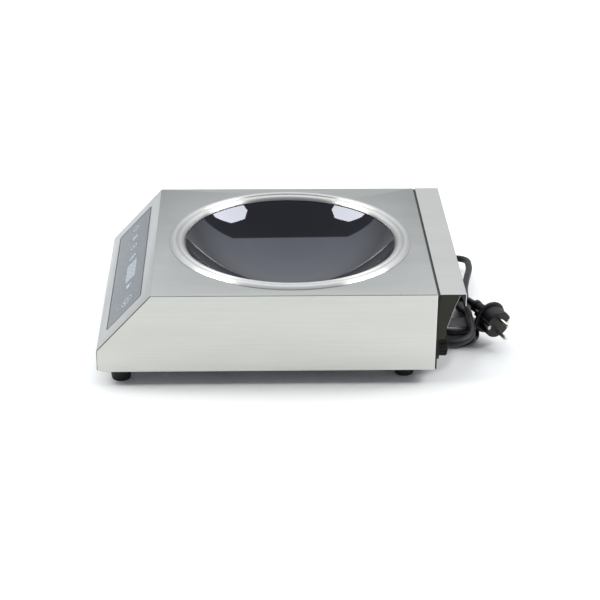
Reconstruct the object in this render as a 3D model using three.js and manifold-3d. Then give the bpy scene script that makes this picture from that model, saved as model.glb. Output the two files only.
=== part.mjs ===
// Countertop wok induction hob: folded stainless housing with a sloped control panel, a round glass bowl
// over a dished coil, two base fans, a rear air outlet hood, and a mains lead tied in a hank behind it.
// Millimetres. +X is the user's right, +Y the rear, +Z up. The origin is on the floor, under the middle.
import * as THREE from "three";
import { mergeVertices } from "three/addons/utils/BufferGeometryUtils.js";
import Module from "manifold-3d";

const wasm = await Module();
wasm.setup();

// Housing
const WIDTH = 340;
const DEPTH = 445;
const HEIGHT = 120;
const FOOT_HEIGHT = 19;
const SHEET = 1.2;
const GAP = 0.3;
const FRONT_Y = -DEPTH / 2;
const REAR_Y = DEPTH / 2;
const LIP_TOP = 47.3;
const SLOPE_RUN = 67;
const SHELL_REAR_Y = 188.2;
const SLOPE_ANGLE = Math.atan2(HEIGHT - LIP_TOP, SLOPE_RUN);
const SLOPE_LENGTH = Math.hypot(HEIGHT - LIP_TOP, SLOPE_RUN);
const PLATE_Y = [SHELL_REAR_Y + 0.4, SHELL_REAR_Y + 1.9];
const PLATE_TOP = 115.5;
const HOOD_Y = PLATE_Y[1] + 0.6;

// Bowl
const BOWL_Y = 15.5;
const BOWL_INNER_R = 170.6;
const BOWL_BOTTOM = 52.5;
const GLASS = 4;
const BOWL_CENTRE_Z = BOWL_BOTTOM + BOWL_INNER_R;
const GLASS_TOP = 116.8;
const RING_OUTER_R = 154.5;
const RING_SKIRT_R = 145.4;
const TURNS = 60;

// Control panel, measured on the slope: x across, s up the slope from its lower edge
const PANEL_X = [-143, 137.5];
const PANEL_S = [16.3, 79.3];
const PANEL_THICK = 2;
const PANEL_RADIUS = 3;
const KEY_S = 51;
const KEY_R = 7.2;
const POWER_KEY_R = 10.5;
const KEYS = [
  { name: "key_timer", x: -117, r: KEY_R },
  { name: "key_function", x: -86.3, r: KEY_R },
  { name: "key_minus", x: -56.3, r: KEY_R },
  { name: "key_plus", x: -23, r: KEY_R },
  { name: "key_lock", x: 64, r: KEY_R },
  { name: "key_power", x: 108.8, r: POWER_KEY_R },
];
const DISPLAY_X = [-4.7, 47.2];
const DISPLAY_S = [42.7, 61];
const BOARD_N = -8.4;

// Feet, fans and rear fittings
const FEET = [
  { name: "front_left", x: -147, y: -195 },
  { name: "front_right", x: 147, y: -195 },
  { name: "rear_left", x: -139, y: 153.5 },
  { name: "rear_right", x: 139, y: 153.5 },
];
const SCREW_R = 2;
const SCREW_HOLE_R = 2.4;
const FANS = [
  { name: "left", x: -92, y: 120 },
  { name: "right", x: 92, y: 120 },
];
const FAN_SIZE = 80;
const FAN_HEIGHT = 25;
const FAN_BORE_R = 38;
const ROTOR_R = 36;
const FAN_SHAFT_R = 1.5;
const FAN_Z = FOOT_HEIGHT + SHEET + GAP;
const GLAND = { x: 136, z: 37, hole: 8.3, length: 16.4 };

// Mains lead
const CORD_R = 4.5;
const HANK_FLOOR = 1.5;
const HANK_TOP = 20;
const HANK_FAR_TOP = 30;
const HANK_STEP_X = -5;
const TIE_X = [30, 55.5];
const TIE_THICK = 1.1;
const PLUG_NECK = new THREE.Vector3(29.3, 253.3, 38.5);
const PLUG_TURN = THREE.MathUtils.degToRad(29);
const PLUG_DIP = THREE.MathUtils.degToRad(8);
const PLUG_RIM_R = 22;
const PLUG_FACE = 52;

const finishes = {
  brushed: { color: 0xb4b5b1, roughness: 0.38, metalness: 1 },
  polished: { color: 0xd6d7d6, roughness: 0.12, metalness: 1 },
  dark_sheet: { color: 0x2b2b24, roughness: 0.5, metalness: 0.6 },
  black_glass: { color: 0x050506, roughness: 0.04, metalness: 0 },
  silicone: { color: 0x151517, roughness: 0.6, metalness: 0 },
  panel: { color: 0x656d78, roughness: 0.15, metalness: 0 },
  display: { color: 0xc2cad4, roughness: 0.12, metalness: 0 },
  key: { color: 0x8f99a6, roughness: 0.2, metalness: 0 },
  plastic: { color: 0x1b1b1d, roughness: 0.5, metalness: 0 },
  rubber: { color: 0x161618, roughness: 0.7, metalness: 0 },
  cord: { color: 0x1a1a1c, roughness: 0.6, metalness: 0 },
  strap: { color: 0x44464a, roughness: 0.6, metalness: 0 },
  board: { color: 0x1d5a34, roughness: 0.45, metalness: 0 },
  copper: { color: 0xb0683a, roughness: 0.4, metalness: 1 },
  ferrite: { color: 0x2c2c2e, roughness: 0.75, metalness: 0 },
  mica: { color: 0xc9bfa4, roughness: 0.7, metalness: 0 },
  aluminium: { color: 0xb5b8bb, roughness: 0.4, metalness: 1 },
  component: { color: 0x2b3a78, roughness: 0.4, metalness: 0 },
  steel: { color: 0xa6a7a8, roughness: 0.35, metalness: 1 },
  nickel: { color: 0xcfcabb, roughness: 0.25, metalness: 1 },
};

// A closed three.js geometry as a solid that can be cut and joined.
function solid(geometry) {
  geometry.deleteAttribute("normal");
  geometry.deleteAttribute("uv");
  const merged = mergeVertices(geometry, 1e-4);
  const vertProperties = new Float32Array(merged.attributes.position.array);
  const triVerts = new Uint32Array(merged.index.array);
  return new wasm.Manifold(new wasm.Mesh({ numProp: 3, vertProperties, triVerts }));
}

function geometryOf(made) {
  const { vertProperties, triVerts } = made.getMesh();
  const geometry = new THREE.BufferGeometry();
  geometry.setAttribute("position", new THREE.BufferAttribute(vertProperties, 3));
  geometry.setIndex(new THREE.BufferAttribute(triVerts, 1));
  geometry.computeVertexNormals();
  return geometry;
}

const root = new THREE.Group();
const slope = new THREE.Group();
slope.position.set(0, FRONT_Y, LIP_TOP);
slope.rotation.x = SLOPE_ANGLE;
root.add(slope);
const plug = new THREE.Group();
plug.position.copy(PLUG_NECK);
plug.rotation.set(0, Math.PI / 2 + PLUG_DIP, PLUG_TURN, "ZYX");
root.add(plug);

function add(name, made, finish, parent = root) {
  const mesh = new THREE.Mesh(geometryOf(made), new THREE.MeshStandardMaterial(finishes[finish]));
  mesh.name = name;
  parent.add(mesh);
  return mesh;
}

function box([x0, x1], [y0, y1], [z0, z1]) {
  const geometry = new THREE.BoxGeometry(x1 - x0, y1 - y0, z1 - z0);
  geometry.translate((x0 + x1) / 2, (y0 + y1) / 2, (z0 + z1) / 2);
  return solid(geometry);
}

// A cylinder or cone standing on Z.
function cylinder(x, y, r, [z0, z1], sides = 24, topR = r) {
  const geometry = new THREE.CylinderGeometry(topR, r, z1 - z0, sides);
  geometry.rotateX(Math.PI / 2);
  geometry.translate(x, y, (z0 + z1) / 2);
  return solid(geometry);
}

// A turned body: [radius, height] points from the axis round to the axis, or closed on themselves.
function turned(points, sides = TURNS) {
  const profile = points.map(([r, z]) => new THREE.Vector2(r, z));
  const onAxis = points[0][0] === 0;
  if (!onAxis) profile.push(profile[0].clone());
  const geometry = new THREE.LatheGeometry(profile, sides);
  geometry.rotateX(Math.PI / 2);
  const made = solid(geometry);
  return made.volume() < 0 ? flipped(geometry) : made;
}

function flipped(geometry) {
  const index = geometry.index.array;
  for (let i = 0; i < index.length; i += 3) [index[i + 1], index[i + 2]] = [index[i + 2], index[i + 1]];
  return solid(geometry);
}

// A side profile of [y, z] points, extruded along X.
function folded(points, [x0, x1]) {
  const shape = new THREE.Shape(points.map(([y, z]) => new THREE.Vector2(y, z)));
  const geometry = new THREE.ExtrudeGeometry(shape, { depth: x1 - x0, bevelEnabled: false });
  geometry.rotateX(Math.PI / 2);
  geometry.rotateZ(Math.PI / 2);
  geometry.translate(x0, 0, 0);
  return solid(geometry);
}

// A rounded plate in the XY plane.
function roundedPlate([x0, x1], [y0, y1], [z0, z1], radius) {
  const shape = new THREE.Shape();
  const quarter = Math.PI / 2;
  shape.absarc(x1 - radius, y1 - radius, radius, 0, quarter);
  shape.absarc(x0 + radius, y1 - radius, radius, quarter, 2 * quarter);
  shape.absarc(x0 + radius, y0 + radius, radius, 2 * quarter, 3 * quarter);
  shape.absarc(x1 - radius, y0 + radius, radius, 3 * quarter, 4 * quarter);
  const geometry = new THREE.ExtrudeGeometry(shape, { depth: z1 - z0, bevelEnabled: false, curveSegments: 5 });
  geometry.translate(0, 0, z0);
  return solid(geometry);
}

// A round tube along points, as an extruded section.
function tube(points, radius, steps, sides) {
  const section = new THREE.Shape();
  section.absarc(0, 0, radius, 0, 2 * Math.PI);
  const path = new THREE.CatmullRomCurve3(points.map(([x, y, z]) => new THREE.Vector3(x, y, z)));
  const options = { steps, extrudePath: path, curveSegments: sides / 2, bevelEnabled: false };
  return solid(new THREE.ExtrudeGeometry(section, options));
}

function joined(pieces) {
  return pieces.reduce((whole, piece) => whole.add(piece));
}

function cut(whole, cutters) {
  return cutters.reduce((rest, cutter) => rest.subtract(cutter), whole);
}

// Points on the sphere of the bowl: angles from the axis, out to a radius.
function sphereArc(radius, fromR, toR, steps) {
  const from = Math.asin(fromR / radius);
  const to = Math.asin(toR / radius);
  return Array.from({ length: steps + 1 }, (_, i) => {
    const angle = from + ((to - from) * i) / steps;
    return [radius * Math.sin(angle), BOWL_CENTRE_Z - radius * Math.cos(angle)];
  });
}

// A dished layer that follows the bowl between two sphere radii.
function dish(innerR, outerR, fromR, toR, steps = 6) {
  const upper = sphereArc(innerR, fromR, toR, steps);
  const lower = sphereArc(outerR, fromR, toR, steps).reverse();
  return turned([...upper, ...lower]).translate(0, BOWL_Y, 0);
}

function makeHousing() {
  const outer = folded(
    [
      [FRONT_Y + 9, FOOT_HEIGHT],
      [FRONT_Y, FOOT_HEIGHT + 2.4],
      [FRONT_Y, LIP_TOP],
      [FRONT_Y + SLOPE_RUN, HEIGHT],
      [SHELL_REAR_Y, HEIGHT],
      [SHELL_REAR_Y, FOOT_HEIGHT],
    ],
    [-WIDTH / 2, WIDTH / 2],
  );
  const fold = SHEET * Math.tan(SLOPE_ANGLE / 2);
  const inner = folded(
    [
      [FRONT_Y + SHEET, FOOT_HEIGHT - 5],
      [FRONT_Y + SHEET, LIP_TOP - SHEET * Math.tan((Math.PI / 2 - SLOPE_ANGLE) / 2)],
      [FRONT_Y + SLOPE_RUN + fold, HEIGHT - SHEET],
      [SHELL_REAR_Y + 5, HEIGHT - SHEET],
      [SHELL_REAR_Y + 5, FOOT_HEIGHT - 5],
    ],
    [-WIDTH / 2 + SHEET, WIDTH / 2 - SHEET],
  );
  const bowlHole = cylinder(0, BOWL_Y, RING_SKIRT_R + 0.6, [HEIGHT - 5, HEIGHT + 5], TURNS);
  const margin = 0.8;
  const window = roundedPlate(
    [PANEL_X[0] - margin, PANEL_X[1] + margin],
    [PANEL_S[0] - margin, PANEL_S[1] + margin],
    [-5, 5],
    PANEL_RADIUS + margin,
  );
  const placed = window.rotate(THREE.MathUtils.radToDeg(SLOPE_ANGLE), 0, 0).translate(0, FRONT_Y, LIP_TOP);
  add("housing_shell", cut(outer, [inner, bowlHole, placed]), "brushed");
}

function makeBase() {
  const [x0, x1] = [-WIDTH / 2 + SHEET + 0.4, WIDTH / 2 - SHEET - 0.4];
  const [y0, y1] = [FRONT_Y + SHEET + 0.4 + 8, SHELL_REAR_Y - 0.4];
  const floor = box([x0, x1], [y0, y1], [FOOT_HEIGHT, FOOT_HEIGHT + SHEET]);
  const leftFlange = box([x0, x0 + SHEET], [y0, y1], [FOOT_HEIGHT, FOOT_HEIGHT + 12]);
  const rightFlange = box([x1 - SHEET, x1], [y0, y1], [FOOT_HEIGHT, FOOT_HEIGHT + 12]);
  const through = [FOOT_HEIGHT - 1, FOOT_HEIGHT + SHEET + 1];
  const screwHoles = FEET.map(({ x, y }) => cylinder(x, y, SCREW_HOLE_R, through, 16));
  const slots = FANS.flatMap(({ x, y }) =>
    [-3, -2, -1, 0, 1, 2, 3].map((i) => {
      const offset = i * 9.5;
      const half = Math.sqrt(FAN_BORE_R ** 2 - offset ** 2) - 3;
      return box([x + offset - 2.5, x + offset + 2.5], [y - half, y + half], through);
    }),
  );
  add("base_plate", cut(joined([floor, leftFlange, rightFlange]), [...screwHoles, ...slots]), "brushed");
}

function makeRear() {
  const plate = box([-WIDTH / 2 + 0.4, WIDTH / 2 - 0.4], PLATE_Y, [FOOT_HEIGHT + 0.4, PLATE_TOP]);
  const slotCount = 14;
  const slotPitch = 18;
  const outlets = Array.from({ length: slotCount }, (_, i) => {
    const x = (i - (slotCount - 1) / 2) * slotPitch;
    return box([x - 4, x + 4], [PLATE_Y[0] - 1, PLATE_Y[1] + 1], [64, 102]);
  });
  const glandHole = cylinder(GLAND.x, 0, GLAND.hole, [-10, 10], 24)
    .rotate(90, 0, 0)
    .translate(0, PLATE_Y[0], GLAND.z);
  add("back_plate", cut(plate, [...outlets, glandHole]), "dark_sheet");

  const hood = folded(
    [
      [HOOD_Y, 109],
      [HOOD_Y, HEIGHT],
      [REAR_Y, HEIGHT],
      [REAR_Y, 104.5],
      [REAR_Y - SHEET, 104.5],
      [REAR_Y - SHEET, HEIGHT - SHEET],
      [HOOD_Y + SHEET, HEIGHT - SHEET],
      [HOOD_Y + SHEET, 109],
    ],
    [-WIDTH / 2, WIDTH / 2],
  );
  const gussetOutline = [
    [REAR_Y - SHEET / 2, 106],
    [REAR_Y - SHEET / 2, HEIGHT - SHEET / 2],
    [REAR_Y - 7, HEIGHT - SHEET / 2],
    [REAR_Y - 7, HEIGHT - SHEET],
  ];
  const gussets = [-WIDTH / 2, WIDTH / 2 - SHEET].map((x) => folded(gussetOutline, [x, x + SHEET]));
  add("rear_hood", joined([hood, ...gussets]), "brushed");

  // Deflector: a flange under the hood, a face sloping down and inwards, and a cheek at each end.
  const outer = [
    [HOOD_Y + 2, 118.4],
    [214.8, 118.4],
    [214.5, 115],
    [211.5, 108],
    [208.2, 99],
    [201.1, 74.6],
  ];
  const inner = [
    [200, 74.9],
    [207.1, 99.3],
    [210.4, 108.4],
    [213.3, 115.4],
    [213.4, 117.2],
    [HOOD_Y + 2, 117.2],
  ];
  const reach = 166;
  const face = folded([...outer, ...inner], [-reach, reach]);
  const cheekOutline = [
    [HOOD_Y + 1.6, 118.4],
    [214.8, 118.4],
    [214.5, 115],
    [211.5, 108],
    [208.2, 99],
    [201.1, 74.6],
    [199.8, 58],
    [PLATE_Y[1] + GAP, 58],
    [PLATE_Y[1] + GAP, 108.6],
    [HOOD_Y + 1.6, 108.6],
  ];
  const cheeks = [-reach, reach - 1.1].map((x) => folded(cheekOutline, [x, x + 1.1]));
  add("air_deflector", joined([face, ...cheeks]), "dark_sheet");
}

function makeBowl() {
  const ring = turned([
    [RING_OUTER_R, HEIGHT + GAP],
    [154.3, 121],
    [150.8, 122.6],
    [148.2, 123.4],
    [146.4, 123.5],
    [144.6, 122.9],
    [143.4, 121.6],
    [142.2, 122.3],
    [140.4, 122.7],
    [137.8, 122],
    [135.6, 120.2],
    [134.4, 118.4],
    [134.3, 117.4],
    [RING_SKIRT_R, 116.6],
    [RING_SKIRT_R, HEIGHT + GAP],
  ]);
  add("bowl_ring", ring.translate(0, BOWL_Y, 0), "polished");
  const seal = turned([
    [139.1, 116.7],
    [143.6, 116.4],
    [143.6, 113.8],
    [136.9, 113.8],
  ]);
  add("bowl_seal", seal.translate(0, BOWL_Y, 0), "silicone");
  const innerTopR = Math.sqrt(BOWL_INNER_R ** 2 - (BOWL_CENTRE_Z - GLASS_TOP) ** 2);
  const outerR = BOWL_INNER_R + GLASS;
  const outerTopR = Math.sqrt(outerR ** 2 - (BOWL_CENTRE_Z - GLASS_TOP) ** 2);
  const inside = sphereArc(BOWL_INNER_R, 0, innerTopR, 9);
  const outside = sphereArc(outerR, 0, outerTopR, 9).reverse();
  add("glass_bowl", turned([...inside, ...outside]).translate(0, BOWL_Y, 0), "black_glass");
}

function makeCoil() {
  const glassR = BOWL_INNER_R + GLASS;
  add("mica_sheet", dish(glassR + 0.6, glassR + 1.3, 14, 95), "mica");
  add("induction_coil", dish(glassR + 2, glassR + 6, 18, 92), "copper");
  const carrierR = [glassR + 6.5, glassR + 10];
  const carrier = dish(carrierR[0], carrierR[1], 14, 98);
  const postR = 90;
  const posts = [45, 135, 225, 315].map((angle) => {
    const a = THREE.MathUtils.degToRad(angle);
    const top = BOWL_CENTRE_Z - Math.sqrt(carrierR[1] ** 2 - postR ** 2) + 1.5;
    const [x, y] = [postR * Math.cos(a) * 0.8, BOWL_Y + postR * Math.sin(a) * 0.8];
    return cylinder(x, y, 3.5, [FOOT_HEIGHT + SHEET + GAP, top - 10.5], 16);
  });
  add("coil_carrier", joined([carrier, ...posts]), "plastic");
  const barTop = carrierR[1] + GAP;
  const barMiddleR = 55;
  const tilt = Math.asin(barMiddleR / carrierR[1]);
  for (let i = 0; i < 6; i += 1) {
    const bar = box([-28, 28], [-6, 6], [-5, 0]).translate(0, 0, -barTop);
    const placed = bar
      .rotate(0, -THREE.MathUtils.radToDeg(tilt), 0)
      .rotate(0, 0, i * 60)
      .translate(0, BOWL_Y, BOWL_CENTRE_Z);
    add(`ferrite_bar_${i + 1}`, placed, "ferrite");
  }
}

function makeSensor() {
  const holder = turned(
    [
      [2.9, 27],
      [9, 27],
      [9, 36],
      [18, 36],
      [18, 37.8],
      [9, 37.8],
      [9, 42],
      [6.8, 42],
      [6.8, 29],
      [2.9, 29],
    ],
    24,
  );
  add("sensor_holder", holder.translate(0, BOWL_Y, 0), "plastic");
  const sensor = turned(
    [
      [0, 48.2],
      [6.2, 48.2],
      [6.2, 41],
      [2.6, 41],
      [2.6, 30],
      [0, 30],
    ],
    24,
  );
  add("temperature_sensor", sensor.translate(0, BOWL_Y, 0), "aluminium");
  const wire = 0.5;
  const [bottom, top] = [29 + GAP + wire, 41 - GAP - wire];
  const coils = 5;
  const helix = Array.from({ length: coils * 8 + 1 }, (_, i) => {
    const angle = (i / 8) * 2 * Math.PI;
    return [4.7 * Math.cos(angle), BOWL_Y + 4.7 * Math.sin(angle), bottom + ((top - bottom) * i) / (coils * 8)];
  });
  add("sensor_spring", tube(helix, wire, 60, 6), "steel");
}

function makePanel() {
  const through = [-20, 5];
  const keyHoles = (extra) => KEYS.map(({ x, r }) => cylinder(x, KEY_S, r + extra, through, 32));
  const displayHole = (extra) =>
    box([DISPLAY_X[0] - extra, DISPLAY_X[1] + extra], [DISPLAY_S[0] - extra, DISPLAY_S[1] + extra], through);

  const sheet = roundedPlate(PANEL_X, PANEL_S, [-PANEL_THICK, 0], PANEL_RADIUS);
  add("control_panel", cut(sheet, [...keyHoles(GAP), displayHole(GAP)]), "panel", slope);
  add("display_window", box(DISPLAY_X, DISPLAY_S, [-PANEL_THICK, 0]), "display", slope);

  const frameX = [PANEL_X[0] - 7, PANEL_X[1] + 7];
  const frameS = [PANEL_S[0] - 7, PANEL_S[1] + 7];
  const frame = roundedPlate(frameX, frameS, [-PANEL_THICK - 1.8, -PANEL_THICK - GAP], PANEL_RADIUS);
  add("panel_frame", cut(frame, [...keyHoles(1), displayHole(1.3)]), "plastic", slope);

  const board = box([PANEL_X[0] + 4, PANEL_X[1] - 4], [24, 76], [BOARD_N - 1.6, BOARD_N]);
  const switches = KEYS.map(({ x }) => box([x - 3, x + 3], [KEY_S - 3, KEY_S + 3], [BOARD_N - 0.5, BOARD_N + 0.9]));
  add("control_board", joined([board, ...switches]), "board", slope);
  const module = box([DISPLAY_X[0] + 1, DISPLAY_X[1] - 1], [DISPLAY_S[0] + 1, DISPLAY_S[1] - 1], [
    BOARD_N + GAP,
    -PANEL_THICK - GAP,
  ]);
  add("display_module", module, "component", slope);

  for (const { name, x, r } of KEYS) {
    const cap = cylinder(x, KEY_S, r, [-1.6, 0], 32);
    const stem = cylinder(x, KEY_S, 2, [BOARD_N + 1.6, -1.5], 12);
    add(name, cap.add(stem), "key", slope);
  }
}

function makePower() {
  const boardTop = 27.6;
  add("main_board", box([-138, 138], [-206, -128], [boardTop - 1.6, boardTop]), "board");
  const seat = boardTop + GAP;
  const sinkY = [-186, -134];
  const sinkBase = box([-66, 18], sinkY, [seat, seat + 5]);
  const fins = Array.from({ length: 10 }, (_, i) => box([-66 + i * 9, -63 + i * 9], sinkY, [seat + 4, seat + 30]));
  add("heat_sink", joined([sinkBase, ...fins]), "aluminium");

  // A flat package standing on its legs.
  const standing = (name, y, width, height, legs) => {
    const body = box([20, 24.6], [y, y + width], [seat + 3, seat + 3 + height]);
    const pitch = width / legs;
    const pins = Array.from({ length: legs }, (_, i) => {
      const middle = y + pitch * (i + 0.5);
      return box([21.8, 22.8], [middle - 0.6, middle + 0.6], [seat, seat + 4]);
    });
    add(name, joined([body, ...pins]), "plastic");
  };
  standing("power_transistor", -178, 16, 21, 3);
  standing("bridge_rectifier", -156, 20, 18, 4);
  add("resonant_capacitor", box([44, 86], [-160, -138], [seat, seat + 30]), "component");
  add("filter_capacitor", box([44, 76], [-188, -170], [seat, seat + 24]), "component");
  const core = Array.from({ length: 12 }, (_, i) => {
    const a = (i / 12) * 2 * Math.PI;
    return [14 + 6 * Math.cos(a), seat + 6 + 6 * Math.sin(a)];
  });
  add("choke_coil", turned(core, 28).translate(110, -160, 0), "copper");

  const block = box([139, 158], [96, 140], [FOOT_HEIGHT + SHEET + GAP, 38]);
  const wells = [0, 1, 2].map((i) => box([143, 154], [100 + i * 13, 110 + i * 13], [30, 40]));
  add("terminal_block", cut(block, wells), "plastic");
}

function makeFan({ name, x, y }) {
  const z = [FAN_Z, FAN_Z + FAN_HEIGHT];
  const half = FAN_SIZE / 2;
  const body = roundedPlate([-half, half], [-half, half], z, 4);
  const bore = cylinder(0, 0, FAN_BORE_R, [z[0] - 1, z[1] + 1], 40);
  const screwHoles = [-1, 1].flatMap((i) =>
    [-1, 1].map((j) => cylinder(i * 35.75, j * 35.75, 2.2, [z[0] - 1, z[1] + 1], 12)),
  );
  const motor = cylinder(0, 0, 14, [z[0], z[0] + 3], 28);
  const arm = box([0, half - 1], [-2, 2], [z[0], z[0] + 2]);
  const arms = [0, 90, 180, 270].map((angle) => arm.rotate(0, 0, angle));
  const shaftHole = cylinder(0, 0, FAN_SHAFT_R + 0.08, [z[0] - 1, z[0] + 4], 24);
  const frame = cut(joined([cut(body, [bore, ...screwHoles]), motor, ...arms]), [shaftHole]);
  add(`fan_frame_${name}`, frame, "plastic").position.set(x, y, 0);

  const hub = cylinder(0, 0, 15, [z[0] + 4, z[1] - 1], 28);
  const shaft = cylinder(0, 0, FAN_SHAFT_R, [z[0] + 0.5, z[0] + 5], 24);
  const blade = box([12, ROTOR_R + 4], [-10, 10], [-0.8, 0.8]).rotate(38, 0, 0).translate(0, 0, z[0] + 13);
  const blades = Array.from({ length: 7 }, (_, i) => blade.rotate(0, 0, (i * 360) / 7));
  const sweep = cylinder(0, 0, ROTOR_R, [z[0] + 4.5, z[1] - 1], 48);
  const trimmed = joined(blades).intersect(sweep);
  add(`fan_rotor_${name}`, joined([hub, shaft, trimmed]), "plastic").position.set(x, y, 0);
}

function makeFoot({ name, x, y }) {
  const foot = turned(
    [
      [5.2, 0],
      [11, 0],
      [11.6, 0.8],
      [13.5, FOOT_HEIGHT - GAP],
      [SCREW_HOLE_R, FOOT_HEIGHT - GAP],
      [SCREW_HOLE_R, 6],
      [5.2, 6],
    ],
    32,
  );
  add(`foot_${name}`, foot.translate(x, y, 0), "rubber");
  const head = cylinder(x, y, 4.4, [3.2, 6 - GAP], 20, 3.8);
  const shank = cylinder(x, y, SCREW_R, [5, 24], 16);
  add(`foot_screw_${name}`, head.add(shank), "steel");
}

function makeGland() {
  const start = PLATE_Y[1] + GAP - PLATE_Y[0];
  const thread = cylinder(0, 0, GLAND.hole - 0.4, [-9, start + 1], 24);
  const collar = cylinder(0, 0, 19.2, [start, start + 4.2], 40, 18.6);
  const dome = cylinder(0, 0, 13.6, [start + 4, start + 14.8], 32, 13.2);
  const nose = cylinder(0, 0, 11, [start + 14.5, start + GLAND.length], 24, 7);
  const ribs = Array.from({ length: 20 }, (_, i) =>
    box([12, 14.5], [-0.9, 0.9], [start + 4, start + 13.8]).rotate(0, 0, (i * 360) / 20),
  );
  const lay = (made) => made.rotate(-90, 0, 0).translate(GLAND.x, PLATE_Y[0], GLAND.z);
  add("cable_gland", lay(joined([thread, collar, dome, nose, ...ribs])), "plastic");
  const nut = cylinder(0, 0, 13, [-6, -GAP - 0.2], 6);
  const bore = cylinder(0, 0, GLAND.hole, [-8, 2], 24);
  add("gland_nut", lay(nut.subtract(bore)), "plastic");
}

// The outer shape of the folded mains lead: a round near end, a wider round far end.
function hankOutline(grow) {
  const shape = new THREE.Shape();
  const deg = THREE.MathUtils.degToRad;
  shape.absarc(47, 224.5, 31.5 + grow, deg(-90), deg(90));
  shape.lineTo(-40, 256 + grow);
  shape.absarc(-146, 236.5, 34.8 + grow, deg(78), deg(235));
  shape.lineTo(-112, 193 - grow);
  return shape;
}

// The folds stand higher over the far part, where all the layers lie.
function hankSolid(grow) {
  const layer = (top) => {
    const options = { depth: top - HANK_FLOOR + 2 * grow, bevelEnabled: false, curveSegments: 14 };
    const geometry = new THREE.ExtrudeGeometry(hankOutline(grow), options);
    geometry.translate(0, 0, HANK_FLOOR - grow);
    return solid(geometry);
  };
  const far = box([-300, HANK_STEP_X + grow], [REAR_Y - 100, REAR_Y + 100], [-10, 60]);
  return joined([layer(HANK_TOP), layer(HANK_FAR_TOP).intersect(far)]);
}

// Room for the plug, a little larger than its body, where it leans over the folded lead.
function plugRoom() {
  const grown = turned(
    [
      [0, -1],
      [8.4, -1],
      [9.6, 12],
      [PLUG_RIM_R + 0.6, 28],
      [PLUG_RIM_R + 0.6, PLUG_FACE + 1],
      [0, PLUG_FACE + 1],
    ],
    40,
  );
  const turn = THREE.MathUtils.radToDeg(PLUG_TURN);
  const dip = THREE.MathUtils.radToDeg(PLUG_DIP);
  return grown.rotate(0, 90 + dip, turn).translate(PLUG_NECK.x, PLUG_NECK.y, PLUG_NECK.z);
}

function makeCord() {
  const leadStart = PLATE_Y[1] + GAP + GLAND.length + GAP;
  const bendR = 31;
  const bend = [10, 20, 30, 40, 50, 60, 75].map((degrees) => {
    const a = THREE.MathUtils.degToRad(degrees);
    const rise = 4 * Math.sin(Math.min(a * 1.8, Math.PI / 2));
    return [GLAND.x - bendR + bendR * Math.cos(a), leadStart + 2 + bendR * Math.sin(a), GLAND.z + rise];
  });
  const overHank = [
    [97, 239.8, 38.6],
    [82, 240.6, 36.4],
    [66, 241, 33.6],
    [48, 241.4, 30.4],
    [28, 241.8, 27.6],
    [10, 242, 25.8],
    [HANK_STEP_X + GAP + 2, 242, 25.2],
    [HANK_STEP_X + GAP, 242, 25.2],
  ];
  const exit = [leadStart, leadStart + 2].map((y) => [GLAND.x, y, GLAND.z]);
  add("cord_lead", tube([...exit, ...bend, ...overHank], CORD_R, 16, 10), "cord");
  add("cord_hank", hankSolid(0).subtract(plugRoom()), "cord");

  const back = new THREE.Vector3(-Math.cos(PLUG_TURN), -Math.sin(PLUG_TURN), Math.tan(PLUG_DIP));
  const end = PLUG_NECK.clone().addScaledVector(back, GAP + 0.1);
  const nearEnd = PLUG_NECK.clone().addScaledVector(back, 12);
  const tail = tube(
    [
      [-45, 211, 34.9],
      [-32, 218, 35],
      [-16, 227.5, 36],
      [0, 237, 38.2],
      [nearEnd.x, nearEnd.y, nearEnd.z - 0.6],
      [end.x, end.y, end.z],
    ],
    CORD_R,
    8,
    10,
  );
  add("cord_tail", tail, "cord");

  const inner = [
    [192.7, 256.3],
    [HANK_FLOOR - GAP, HANK_TOP + GAP],
  ];
  const strapSection = ([y0, y1], [z0, z1], x) => box(x, [y0, y1], [z0, z1]);
  const outside = strapSection(
    [inner[0][0] - TIE_THICK, inner[0][1] + TIE_THICK],
    [0, inner[1][1] + TIE_THICK],
    TIE_X,
  );
  const hollow = strapSection(inner[0], inner[1], [TIE_X[0] - 1, TIE_X[1] + 1]);
  add("cord_tie", outside.subtract(hollow), "strap");
}

// The plug stands on its own Z, from the neck to the pins.
function makePlug() {
  const body = turned(
    [
      [0, 0],
      [6.6, 0],
      [7.4, 1.5],
      [7.4, 6],
      [6.8, 8],
      [7.6, 15],
      [9.5, 20],
      [12, 24],
      [13, 28],
      [PLUG_RIM_R - 0.4, 30],
      [PLUG_RIM_R, 31],
      [PLUG_RIM_R, 33],
      [PLUG_RIM_R - 0.6, 34],
      [18.6, 34.4],
      [18.4, PLUG_FACE - 1],
      [17.4, PLUG_FACE],
      [0, PLUG_FACE],
    ],
    40,
  );
  const clipGrooves = [-1, 1].map((side) =>
    box([-4.5, 4.5], [side * 18 - 2.6, side * 18 + 2.6], [37, PLUG_FACE + 1]),
  );
  const sockets = [-9.5, 9.5].map((x) => cylinder(x, 0, 2.7, [PLUG_FACE - 5, PLUG_FACE + 1], 16));
  add("plug_body", cut(body, [...clipGrooves, ...sockets]), "rubber", plug);
  for (const [name, x] of [
    ["plug_pin_upper", -9.5],
    ["plug_pin_lower", 9.5],
  ]) {
    const pin = turned(
      [
        [0, PLUG_FACE - 5 + GAP],
        [2.4, PLUG_FACE - 5 + GAP],
        [2.4, PLUG_FACE + 17.5],
        [1.5, PLUG_FACE + 19],
        [0, PLUG_FACE + 19],
      ],
      16,
    );
    add(name, pin.translate(x, 0, 0), "nickel", plug);
  }
}

makeHousing();
makeBase();
makeRear();
makeBowl();
makeCoil();
makeSensor();
makePanel();
makePower();
FANS.forEach(makeFan);
FEET.forEach(makeFoot);
makeGland();
makeCord();
makePlug();

export default root;
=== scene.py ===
"""Looks for the countertop wok induction hob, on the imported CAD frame. Metres, +X the user's right, +Z up."""
import math

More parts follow.
